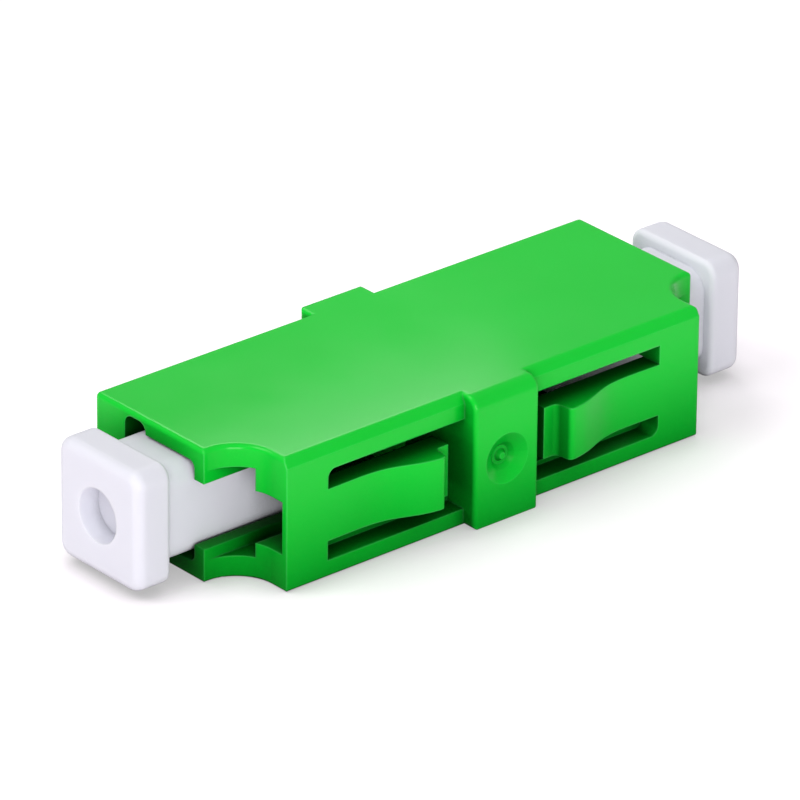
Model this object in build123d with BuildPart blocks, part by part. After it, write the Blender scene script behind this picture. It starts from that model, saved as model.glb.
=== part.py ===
from build123d import *
import os

# Single-port fibre adapter of the panel snap-in kind, lying on its wide side.
# X runs from port to port, the latch side faces -Y, and Z is up from the wide bottom face.
# The origin is in the middle of the bottom face. All sizes are millimetres.

os.makedirs("parts", exist_ok=True)

# Body of the moulded housing
body_length = 27.4
body_width = 10.15
body_height = 6.2
top_edge_round = 0.22
bottom_edge_round = 0.12
end_corner_round = 0.25
band_width = 0.25
band_height = 0.44

# Collar that stops the housing against the panel
collar_length = 3.6
collar_stand = 0.72
collar_round = 0.65
collar_edge_round = 0.2

# Port that takes the plug
port_width = 4.6
port_height = 4.72
port_round = 0.35
back_wall = 2.05
groove_width = 1.37
groove_depth = 0.5
groove_round = 0.45

# Ribs and latch bay beside the port
rib_thickness = 0.62
rib_gap = 3.06
bay_height = 4.16
bay_run = 1.07
side_wall = 1.05
catch_gap = 2.44
catch_reach = 4.37
mouth_wall = 0.28

# Scalloped notch at each end, for a finger on the latch
notch_depth = 2.1
notch_round = 1.9

# Snap tongues and the windows that free them
latch_centre = 2.91
window_height = 4.25
window_corner = 0.4
tongue_height = 2.44
tongue_thickness = 1.05
tongue_crest = 0.83
tongue_tip_gap = 0.9
catch_face_gap = 1.72
catch_lean = 0.12
hump_middle = 2.5
hump_middle_stand = 0.15
crest_flat = 0.3
crest_lean = 0.1
crest_round = 0.2
valley_round = 0.25

# Round gate recess on the collar
gate_diameter = 2.35
gate_dish_depth = 0.3
gate_hole_diameter = 1.3
gate_hole_depth = 0.5
gate_hole_draft = 0.22
gate_stub_diameter = 0.6
gate_stub_height = 0.2
gate_centre = 2.88

# Split ceramic alignment sleeve
sleeve_length = 6.8
sleeve_outer = 1.62
sleeve_bore = 1.246
sleeve_slot = 0.18

# Sleeve holder, two halves pressed into the middle of the housing
holder_barrel = 2.9
holder_flange = 4.2
holder_flange_thickness = 0.8
holder_spigot = 3.0
holder_reach = 4.15
ferrule_hole = 1.36
ferrule_funnel = 0.3
holder_tip_bevel = 0.25
sleeve_play = 0.02
sleeve_end_play = 0.05
seat_play = 0.01

# Dust caps
cap_head_width = 5.4
cap_head_height = 5.6
cap_head_length = 1.8
cap_head_round = 0.7
cap_edge_round = 0.45
cap_back_round = 0.25
cap_stand_off = 1.55
neck_width = 4.35
neck_height = 4.5
neck_round = 1.0
neck_end_bevel = 0.3
neck_depth = 5.8
neck_bore = 3.3
neck_bore_depth = 4.6
dimple_diameter = 2.5
dimple_depth = 1.05

# Places that follow from the sizes
half_length = body_length / 2
half_width = body_width / 2
half_height = body_height / 2
port_back = half_width - back_wall
port_front = port_back - port_width
port_centre = (port_back + port_front) / 2
bay_start = port_front - rib_thickness
wall_inside = side_wall - half_width
web_half = collar_length / 2
port_depth = half_length - web_half
window_end = half_length - catch_reach
window_length = window_end - web_half
crest_at = web_half + catch_face_gap
tip_at = web_half + tongue_tip_gap
tongue_inside = half_width - tongue_thickness
overcut = 1.0


# Tongue seen from above, on the latch side of the near end, from its root to its free tip
with BuildSketch() as tongue_plan:
    root = -window_end - side_wall
    with BuildLine():
        outer = Spline(
            (-window_end, -half_width),
            (-crest_at - hump_middle, -half_width - hump_middle_stand),
            (-crest_at - crest_flat, -half_width - tongue_crest),
            tangents=((1, 0), (1, -crest_lean)),
        )
        crest = Line(outer @ 1, (-crest_at, -half_width - tongue_crest))
        catch = Line(crest @ 1, (-crest_at + catch_lean, -half_width))
        tip = Line(catch @ 1, (-tip_at, -half_width))
        end = Line(tip @ 1, (-tip_at, -tongue_inside))
        inner = Line(end @ 1, (root, -tongue_inside))
        back = Line(inner @ 1, (root, -half_width))
        Line(back @ 1, outer @ 0)
    make_face()
    crest_corner = Vector(-crest_at, -half_width - tongue_crest, 0)
    fillet(tongue_plan.vertices().sort_by_distance(crest_corner)[0], radius=crest_round)
    valley_corner = Vector(-crest_at + catch_lean, -half_width, 0)
    fillet(tongue_plan.vertices().sort_by_distance(valley_corner)[0], radius=valley_round)


# Collar across the two narrow sides, softened all round
with BuildPart() as collar:
    with BuildSketch(Plane.YZ.offset(-web_half)) as collar_section:
        with Locations((0, half_height)):
            Rectangle(body_width + 2 * collar_stand, body_height)
        fillet(collar_section.vertices().group_by(Axis.Y)[-1].sort_by(Axis.X)[0], radius=collar_round)
    extrude(amount=collar_length)
    fillet(collar.faces().sort_by(Axis.X)[0].edges(), radius=collar_edge_round)
    fillet(collar.faces().sort_by(Axis.X)[-1].edges(), radius=collar_edge_round)


# Housing, one moulding with the collar, the tongues and the middle web
with BuildPart() as housing:
    # Outline with a notch at each end of the latch side, rounded in its inner corner
    notch_width = bay_start + half_width
    notch_curve = min(notch_round, notch_width - 2 * top_edge_round)
    with BuildSketch() as outline:
        Rectangle(body_length, body_width)
        for side in (-1, 1):
            with Locations((side * (half_length - notch_depth / 2), (bay_start - half_width) / 2)):
                Rectangle(notch_depth, notch_width, mode=Mode.SUBTRACT)
            notch_corner = Vector(side * (half_length - notch_depth), bay_start, 0)
            fillet(outline.vertices().sort_by_distance(notch_corner)[0], radius=notch_curve)
            back_corner = Vector(side * half_length, half_width, 0)
            fillet(outline.vertices().sort_by_distance(back_corner)[0], radius=end_corner_round)
    extrude(amount=body_height)

    # Sloped band along the top edge of the latch side
    with BuildSketch(Plane.YZ.offset(-half_length)):
        with BuildLine():
            Polyline(
                (-half_width - overcut, body_height - band_height),
                (-half_width, body_height - band_height),
                (-half_width + band_width, body_height),
                (-half_width + band_width, body_height + overcut),
                (-half_width - overcut, body_height + overcut),
                close=True,
            )
        make_face()
    extrude(amount=body_length, mode=Mode.SUBTRACT)
    fillet(housing.faces().sort_by(Axis.Z)[-1].edges(), radius=top_edge_round)
    fillet(housing.faces().sort_by(Axis.Z)[0].edges(), radius=bottom_edge_round)
    add(collar.part)

    for side in (-1, 1):
        # Plug channel, with its corner reliefs against the back wall
        with BuildSketch(Plane.YZ.offset(side * web_half)):
            with Locations((port_centre, half_height)):
                RectangleRounded(port_width, port_height, port_round)
            with Locations((port_back - groove_width / 2, half_height)):
                RectangleRounded(groove_width, port_height + 2 * groove_depth, groove_round)
            # Opening between the two guide ribs
            with Locations((port_front, half_height)):
                Rectangle(2 * rib_thickness, rib_gap)
            # Latch bay between the ribs and the catch blocks
            with Locations((bay_start - bay_run / 2, half_height)):
                Rectangle(bay_run, bay_height)
            # Relief behind the tongue of the back wall
            with Locations((port_back, latch_centre)):
                Rectangle(2 * (back_wall - side_wall), tongue_height)
        extrude(amount=side * (port_depth + overcut), mode=Mode.SUBTRACT)

        # Wide part of the bay behind the catch blocks
        with BuildSketch(Plane.YZ.offset(side * web_half)):
            with Locations(((bay_start + wall_inside) / 2, half_height)):
                Rectangle(bay_start - wall_inside, bay_height)
        extrude(amount=side * window_length, mode=Mode.SUBTRACT)

        # Ramped passage between the catch blocks
        with BuildSketch(Plane.XY.offset(latch_centre - catch_gap / 2)):
            with BuildLine():
                Polyline(
                    (side * window_end, bay_start),
                    (side * (half_length + overcut), bay_start),
                    (side * (half_length + overcut), mouth_wall - half_width),
                    (side * (half_length - notch_depth), mouth_wall - half_width),
                    (side * window_end, wall_inside),
                    close=True,
                )
            make_face()
        extrude(amount=catch_gap, mode=Mode.SUBTRACT)

        # Windows through both narrow sides
        for face in (-1, 1):
            wall = side_wall if face < 0 else back_wall
            with BuildSketch(Plane.XZ.offset(-face * half_width)) as window:
                with Locations((side * (web_half + window_length / 2), latch_centre)):
                    Rectangle(window_length, window_height)
                rounded = Vector(side * window_end, latch_centre - side * window_height / 2, 0)
                fillet(window.vertices().sort_by_distance(rounded)[0], radius=window_corner)
            extrude(amount=face * wall, mode=Mode.SUBTRACT)

    # Hole for the sleeve holder through the middle web
    with BuildSketch(Plane.YZ):
        with Locations((port_centre, half_height)):
            Circle(holder_spigot / 2 + seat_play)
    extrude(amount=web_half, both=True, mode=Mode.SUBTRACT)
    for side in (-1, 1):
        with BuildSketch(Plane.YZ.offset(side * web_half)):
            with Locations((port_centre, half_height)):
                Circle(holder_flange / 2 + seat_play)
        extrude(amount=-side * holder_flange_thickness, mode=Mode.SUBTRACT)

    # Four snap tongues, one in each window
    with BuildSketch(Plane.XY.offset(latch_centre - tongue_height / 2)):
        add(tongue_plan.sketch)
        mirror(about=Plane.YZ)
        mirror(about=Plane.XZ)
    extrude(amount=tongue_height)

    # Gate recess on the latch side of the collar: a dish round a hole with a stub
    collar_face = -half_width - collar_stand
    with BuildSketch(Plane.XY.offset(gate_centre)):
        with BuildLine():
            Polyline(
                (0, collar_face - overcut),
                (gate_diameter / 2, collar_face - overcut),
                (gate_diameter / 2, collar_face),
                (gate_hole_diameter / 2, collar_face + gate_dish_depth),
                (gate_hole_diameter / 2 - gate_hole_draft, collar_face + gate_hole_depth),
                (gate_stub_diameter / 2, collar_face + gate_hole_depth),
                (gate_stub_diameter / 4, collar_face + gate_hole_depth - gate_stub_height),
                (0, collar_face + gate_hole_depth - gate_stub_height),
                close=True,
            )
        make_face()
    revolve(axis=Axis((0, 0, gate_centre), (0, 1, 0)), mode=Mode.SUBTRACT)

housing.part.label = "housing"
export_step(housing.part, "parts/housing.step")


# Alignment sleeve, a ceramic tube slit along one side
with BuildPart() as alignment_sleeve:
    with BuildSketch(Plane.YZ.offset(-sleeve_length / 2)):
        with Locations((port_centre, half_height)):
            Circle(sleeve_outer / 2)
            Circle(sleeve_bore / 2, mode=Mode.SUBTRACT)
        with Locations((port_centre, half_height + sleeve_outer / 2)):
            Rectangle(sleeve_slot, sleeve_outer, mode=Mode.SUBTRACT)
    extrude(amount=sleeve_length)

alignment_sleeve.part.label = "alignment_sleeve"
export_step(alignment_sleeve.part, "parts/alignment_sleeve.step")


# Sleeve holder half for the near port, turned about the port's axis
sleeve_room = sleeve_length / 2 + sleeve_end_play
sleeve_room_radius = sleeve_outer / 2 + sleeve_play
flange_face = web_half - holder_flange_thickness
with BuildPart() as sleeve_holder_near:
    with BuildSketch(Plane.XY.offset(half_height)):
        with BuildLine():
            Polyline(
                (0, port_centre + sleeve_room_radius),
                (0, port_centre + holder_spigot / 2),
                (-flange_face, port_centre + holder_spigot / 2),
                (-flange_face, port_centre + holder_flange / 2),
                (-web_half, port_centre + holder_flange / 2),
                (-web_half, port_centre + holder_barrel / 2),
                (-holder_reach + holder_tip_bevel, port_centre + holder_barrel / 2),
                (-holder_reach, port_centre + holder_barrel / 2 - holder_tip_bevel),
                (-holder_reach, port_centre + ferrule_hole / 2 + ferrule_funnel),
                (-sleeve_room, port_centre + ferrule_hole / 2),
                (-sleeve_room, port_centre + sleeve_room_radius),
                close=True,
            )
        make_face()
    revolve(axis=Axis((0, port_centre, half_height), (1, 0, 0)))

sleeve_holder_near.part.label = "sleeve_holder_near"
export_step(sleeve_holder_near.part, "parts/sleeve_holder_near.step")


# The same half turned to the far port
with BuildPart() as sleeve_holder_far:
    mirror(sleeve_holder_near.part, about=Plane.YZ)

sleeve_holder_far.part.label = "sleeve_holder_far"
export_step(sleeve_holder_far.part, "parts/sleeve_holder_far.step")


# Dust cap of the near port: a soft square head on a hollow rounded plug
head_back = -half_length - cap_stand_off
head_front = head_back - cap_head_length
neck_end = -half_length + neck_depth
with BuildPart() as dust_cap_near:
    with BuildSketch(Plane.YZ.offset(head_front)):
        with Locations((port_centre, half_height)):
            RectangleRounded(cap_head_width, cap_head_height, cap_head_round)
    extrude(amount=cap_head_length)
    fillet(dust_cap_near.faces().sort_by(Axis.X)[0].edges(), radius=cap_edge_round)
    fillet(dust_cap_near.faces().sort_by(Axis.X)[-1].edges(), radius=cap_back_round)
    with BuildSketch(Plane.YZ.offset(head_back)):
        with Locations((port_centre, half_height)):
            RectangleRounded(neck_width, neck_height, neck_round)
    extrude(amount=neck_end - head_back)
    chamfer(dust_cap_near.faces().sort_by(Axis.X)[-1].edges(), length=neck_end_bevel)
    with BuildSketch(Plane.YZ.offset(neck_end)):
        with Locations((port_centre, half_height)):
            Circle(neck_bore / 2)
    extrude(amount=-neck_bore_depth, mode=Mode.SUBTRACT)
    with BuildSketch(Plane.YZ.offset(head_front)):
        with Locations((port_centre, half_height)):
            Circle(dimple_diameter / 2)
    extrude(amount=dimple_depth, mode=Mode.SUBTRACT)

dust_cap_near.part.label = "dust_cap_near"
export_step(dust_cap_near.part, "parts/dust_cap_near.step")


# The same cap in the far port
with BuildPart() as dust_cap_far:
    mirror(dust_cap_near.part, about=Plane.YZ)

dust_cap_far.part.label = "dust_cap_far"
export_step(dust_cap_far.part, "parts/dust_cap_far.step")
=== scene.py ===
import math

import bpy
from mathutils import Matrix, Vector

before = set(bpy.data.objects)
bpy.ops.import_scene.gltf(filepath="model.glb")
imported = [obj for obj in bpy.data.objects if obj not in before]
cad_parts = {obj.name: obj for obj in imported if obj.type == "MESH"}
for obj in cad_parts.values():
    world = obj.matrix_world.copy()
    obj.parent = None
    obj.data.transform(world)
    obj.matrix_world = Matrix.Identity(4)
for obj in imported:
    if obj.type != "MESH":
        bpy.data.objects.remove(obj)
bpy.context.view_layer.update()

# Looks of a snap-in fibre adapter: satin green moulding, white dust caps, on a white table.
# Lengths are metres and angles are degrees.

MM = 0.001
scene = bpy.context.scene

# Camera: a long lens, from the latch side of the near port
CAMERA_PLACE = Vector((-216.0, -248.6, 165.9)) * MM
CAMERA_HEADING = 49.15
CAMERA_DROP = 26.26
CAMERA_ROLL = 0.6
CAMERA_LENS = 385.5
SENSOR_WIDTH = 36.0
NEAREST_SEEN = 0.01
FARTHEST_SEEN = 10.0

# Darker and lighter tone of each material
GREEN = ((0.002, 0.56, 0.028), (0.004, 0.61, 0.036))
WHITE = ((0.71, 0.71, 0.77), (0.73, 0.73, 0.79))
CERAMIC = ((0.78, 0.78, 0.74), (0.84, 0.84, 0.80))
# Pale green of the painted highlight along the edges
PAINTED_HIGHLIGHT_GREEN = (0.12, 0.80, 0.22, 1)
PURE_WHITE = (1, 1, 1, 1)

# Noise of the surfaces: waves in a metre and layers of detail
CLOUD_NOISE = (90, 3)
PATCH_NOISE = (260, 4)
GRAIN_NOISE = (4000, 5)
NOISE_LOW = 0.3
NOISE_HIGH = 0.7
GRAIN_HEIGHT = 0.02 * MM
ROUGH_SPREAD = 0.04
PLASTIC_IOR = 1.5
RAY_SAMPLES = 8

# Cosine between true and softened surface at which the painted edge highlight is palest
EDGE_TURN = 0.85

# Openness between which a recess goes from hardly any gloss to the full gloss
SHINE_CLOSED = 0.66
SHINE_CLEAR = 0.98
SHINE_LEAST = 0.02

# Table
TABLE_HALF_SIDE = 3.0
TABLE_DROP = 0.01 * MM
# Faint magenta that offsets the green light the object bounces into the table's shadow
TABLE_TONE = (0.85, 0.79, 0.84, 1)
TABLE_ROUGH = 0.9
TABLE_LIFT = 0.4
# Painted shadow on the table close around where the object stands
PAINTED_SHADOW_REACH = 1.6 * MM
PAINTED_SHADOW_CLOSED = 0.3
PAINTED_SHADOW_CLEAR = 0.98
PAINTED_SHADOW_DEPTH = 0.4

# Soft studio light: name, place, aim, width and height, watts
LIGHTS = (
    ("overhead", (-0.2, 0.1, 0.26), (0, 0, 0), (0.2, 0.2), 0.5),
    ("back_panel", (0.012, 0.028, 0.037), (0.012, -0.01, 0.022), (0.04, 0.016), 0.006),
    ("near_panel", (-0.15, -0.21, 0.06), (0, 0, 0.003), (0.16, 0.12), 0.42),
)
SKY_STRENGTH = 0.45


def make_camera():
    data = bpy.data.cameras.new("camera")
    data.lens = CAMERA_LENS
    data.sensor_width = SENSOR_WIDTH
    data.clip_start = NEAREST_SEEN
    data.clip_end = FARTHEST_SEEN
    camera = bpy.data.objects.new("camera", data)
    scene.collection.objects.link(camera)
    turn = Matrix.Rotation(math.radians(CAMERA_HEADING - 90), 4, "Z")
    tilt = Matrix.Rotation(math.radians(90 - CAMERA_DROP), 4, "X")
    roll = Matrix.Rotation(math.radians(CAMERA_ROLL), 4, "Z")
    camera.matrix_world = Matrix.Translation(CAMERA_PLACE) @ turn @ tilt @ roll
    scene.camera = camera


# Node helpers
def new_material(name):
    material = bpy.data.materials.new(name)
    material.use_nodes = True
    nodes = material.node_tree.nodes
    return material, nodes, material.node_tree.links, nodes["Principled BSDF"]


def noise(nodes, links, waves, layers):
    place = nodes.new("ShaderNodeTexCoord")
    texture = nodes.new("ShaderNodeTexNoise")
    texture.inputs["Scale"].default_value = waves
    texture.inputs["Detail"].default_value = layers
    links.new(place.outputs["Object"], texture.inputs["Vector"])
    return texture.outputs["Fac"]


def two_tone(nodes, links, value, tones):
    ramp = nodes.new("ShaderNodeValToRGB")
    places = (NOISE_LOW, NOISE_HIGH)
    for element, place, tone in zip(ramp.color_ramp.elements, places, tones):
        element.position = place
        element.color = (*tone, 1)
    links.new(value, ramp.inputs["Fac"])
    return ramp.outputs["Color"]


def openness(nodes, reach):
    """How far the surroundings stay open: low in slots and against the table."""
    nearby = nodes.new("ShaderNodeAmbientOcclusion")
    nearby.samples = RAY_SAMPLES
    nearby.inputs["Distance"].default_value = reach
    return nearby.outputs["AO"]


def remapped(nodes, links, value, start, end, low, high):
    remap = nodes.new("ShaderNodeMapRange")
    remap.inputs["From Min"].default_value = start
    remap.inputs["From Max"].default_value = end
    remap.inputs["To Min"].default_value = low
    remap.inputs["To Max"].default_value = high
    links.new(value, remap.inputs["Value"])
    return remap.outputs["Result"]


# Multiplies a colour by a share, to paint shade into it
def with_painted_shade(nodes, links, colour, share):
    mix = nodes.new("ShaderNodeMix")
    mix.data_type = "RGBA"
    mix.blend_type = "MULTIPLY"
    mix.inputs["Factor"].default_value = 1.0
    links.new(colour, mix.inputs["A"])
    links.new(share, mix.inputs["B"])
    return mix.outputs["Result"]


def painted_edge_highlight(nodes, links, colour, softened, share):
    """Painted highlight: paler colour painted along the edges."""
    surface = nodes.new("ShaderNodeNewGeometry")
    dot = nodes.new("ShaderNodeVectorMath")
    dot.operation = "DOT_PRODUCT"
    links.new(surface.outputs["Normal"], dot.inputs[0])
    links.new(softened, dot.inputs[1])
    edge = remapped(nodes, links, dot.outputs["Value"], 1.0, EDGE_TURN, 0.0, share)
    mix = nodes.new("ShaderNodeMix")
    mix.data_type = "RGBA"
    links.new(edge, mix.inputs["Factor"])
    links.new(colour, mix.inputs["A"])
    mix.inputs["B"].default_value = PAINTED_HIGHLIGHT_GREEN
    return mix.outputs["Result"]


def larger(nodes, links, first, second):
    pick = nodes.new("ShaderNodeMath")
    pick.operation = "MAXIMUM"
    links.new(first, pick.inputs[0])
    links.new(second, pick.inputs[1])
    return pick.outputs["Value"]


# Materials
def moulded(name, tones, rough, edge, grain, gloss=0.5, painted_highlight_share=0.0,
            bleed=0.0, bleed_radius=(1, 1, 1), bleed_scale=0.4 * MM,
            reach=0.0, closed=0.18, clear=0.86, painted_shade_depth=1.0):
    """Satin moulding: faint mottling, fine grain, softened edges, a painted highlight along the
    edges and painted shade in recesses.
    """
    material, nodes, links, shader = new_material(name)
    rounding = nodes.new("ShaderNodeBevel")
    rounding.samples = RAY_SAMPLES
    rounding.inputs["Radius"].default_value = edge
    colour = two_tone(nodes, links, noise(nodes, links, *CLOUD_NOISE), tones)
    if painted_highlight_share:
        colour = painted_edge_highlight(nodes, links, colour, rounding.outputs["Normal"], painted_highlight_share)
    shader.inputs["Specular IOR Level"].default_value = gloss
    # Painted shade: the colour gets darker where the surroundings are closed in, in slots,
    # recesses and against the table
    if reach:
        open_share = openness(nodes, reach)
        shade = remapped(nodes, links, open_share, closed, clear, painted_shade_depth, 1.0)
        colour = with_painted_shade(nodes, links, colour, shade)
        shine = remapped(nodes, links, open_share, SHINE_CLOSED, SHINE_CLEAR, SHINE_LEAST, gloss)
        links.new(shine, shader.inputs["Specular IOR Level"])
    links.new(colour, shader.inputs["Base Color"])
    patch = noise(nodes, links, *PATCH_NOISE)
    smooth, coarse = rough - ROUGH_SPREAD, rough + ROUGH_SPREAD
    satin = remapped(nodes, links, patch, NOISE_LOW, NOISE_HIGH, smooth, coarse)
    links.new(satin, shader.inputs["Roughness"])
    bump = nodes.new("ShaderNodeBump")
    bump.inputs["Strength"].default_value = grain
    bump.inputs["Distance"].default_value = GRAIN_HEIGHT
    links.new(noise(nodes, links, *GRAIN_NOISE), bump.inputs["Height"])
    links.new(rounding.outputs["Normal"], bump.inputs["Normal"])
    links.new(bump.outputs["Normal"], shader.inputs["Normal"])
    shader.inputs["IOR"].default_value = PLASTIC_IOR
    shader.inputs["Subsurface Weight"].default_value = bleed
    shader.inputs["Subsurface Radius"].default_value = bleed_radius
    shader.inputs["Subsurface Scale"].default_value = bleed_scale
    return material


def housing_green():
    # Painted highlight along the edges and deep painted shade in slots and recesses
    return moulded("housing_green", GREEN, rough=0.2, edge=0.14 * MM, grain=0.06,
                   gloss=0.28, painted_highlight_share=0.3, bleed=0.1, bleed_radius=(0.1, 1.0, 0.2),
                   reach=7 * MM, painted_shade_depth=0.08)


def holder_green():
    return moulded("holder_green", GREEN, rough=0.34, edge=0.05 * MM, grain=0.05)


def cap_white():
    # Painted shade where the cap is closed in, such as the neck inside the port
    return moulded("cap_white", WHITE, rough=0.5, edge=0.1 * MM, grain=0.05,
                   gloss=0.4, bleed=0.6, bleed_scale=0.5 * MM,
                   reach=4 * MM, closed=0.02, clear=0.22, painted_shade_depth=0.1)


def sleeve_ceramic():
    return moulded("sleeve_ceramic", CERAMIC, rough=0.12, edge=0.03 * MM, grain=0.02)


def dress_pieces():
    green = housing_green()
    holder = holder_green()
    white = cap_white()
    ceramic = sleeve_ceramic()
    materials = {
        "housing": green,
        "sleeve_holder_near": holder,
        "sleeve_holder_far": holder,
        "alignment_sleeve": ceramic,
        "dust_cap_near": white,
        "dust_cap_far": white,
    }
    for node, material in materials.items():
        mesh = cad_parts[node].data
        mesh.materials.clear()
        mesh.materials.append(material)


def table_white():
    """White that shows at full strength, with the shadow kept and a painted shadow making it
    darker close around where the object stands.
    """
    material, nodes, links, shader = new_material("table_white")
    tone = nodes.new("ShaderNodeRGB")
    tone.outputs["Color"].default_value = TABLE_TONE
    # Painted shadow: the table's colour gets darker close to the object
    open_share = openness(nodes, PAINTED_SHADOW_REACH)
    painted_contact_shadow = remapped(nodes, links, open_share, PAINTED_SHADOW_CLOSED, PAINTED_SHADOW_CLEAR, PAINTED_SHADOW_DEPTH, 1.0)
    links.new(with_painted_shade(nodes, links, tone.outputs["Color"], painted_contact_shadow), shader.inputs["Base Color"])
    shader.inputs["Roughness"].default_value = TABLE_ROUGH
    path = nodes.new("ShaderNodeLightPath")
    seen = larger(nodes, links, path.outputs["Is Camera Ray"], path.outputs["Is Glossy Ray"])
    seen = larger(nodes, links, seen, path.outputs["Is Transmission Ray"])
    lift = remapped(nodes, links, seen, 0.0, 1.0, 0.0, TABLE_LIFT)
    shader.inputs["Emission Color"].default_value = PURE_WHITE
    links.new(lift, shader.inputs["Emission Strength"])
    return material


def make_table():
    signs = ((-1, -1), (1, -1), (1, 1), (-1, 1))
    corners = [(x * TABLE_HALF_SIDE, y * TABLE_HALF_SIDE, -TABLE_DROP) for x, y in signs]
    mesh = bpy.data.meshes.new("table")
    mesh.from_pydata(corners, [], [(0, 1, 2, 3)])
    mesh.materials.append(table_white())
    table = bpy.data.objects.new("table", mesh)
    scene.collection.objects.link(table)


def area_light(name, place, aim, size, power):
    data = bpy.data.lights.new(name, "AREA")
    data.shape = "RECTANGLE"
    data.size, data.size_y = size
    data.energy = power
    light = bpy.data.objects.new(name, data)
    scene.collection.objects.link(light)
    light.location = place
    light.rotation_mode = "QUATERNION"
    light.rotation_quaternion = (Vector(aim) - Vector(place)).to_track_quat("-Z", "Y")


def make_light():
    world = bpy.data.worlds.new("studio")
    scene.world = world
    world.use_nodes = True
    sky = world.node_tree.nodes["Background"]
    sky.inputs["Color"].default_value = PURE_WHITE
    sky.inputs["Strength"].default_value = SKY_STRENGTH
    for light in LIGHTS:
        area_light(*light)


make_camera()
dress_pieces()
make_table()
make_light()
scene.view_settings.view_transform = "Standard"
